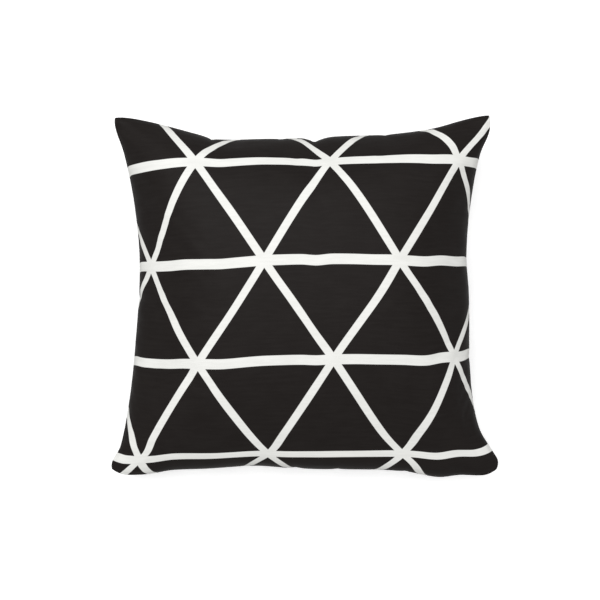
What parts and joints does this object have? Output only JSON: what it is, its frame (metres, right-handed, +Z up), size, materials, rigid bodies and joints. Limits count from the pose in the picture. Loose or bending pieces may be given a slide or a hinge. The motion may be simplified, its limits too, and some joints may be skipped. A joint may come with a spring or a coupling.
{
  "type": "outdoor throw pillow",
  "caption": "Square knife-edge throw pillow, filled, with drawn-in sides and pointed ears, in black printed cloth with a white triangle lattice, lying on its back.",
  "frame": {"origin": "on the floor, under the middle of the pillow's outline", "axes": "+Z up, out of the pillow's face; +Y to its top side as pictured; +X to its right-hand side"},
  "size_m": [0.4538, 0.4248, 0.1366],
  "materials": {
    "printed_cloth": "matt woven polyester, black, printed with off-white lines"
  },
  "bodies": {
    "root": {"pillow": "printed_cloth"}
  },
  "joints": []
}
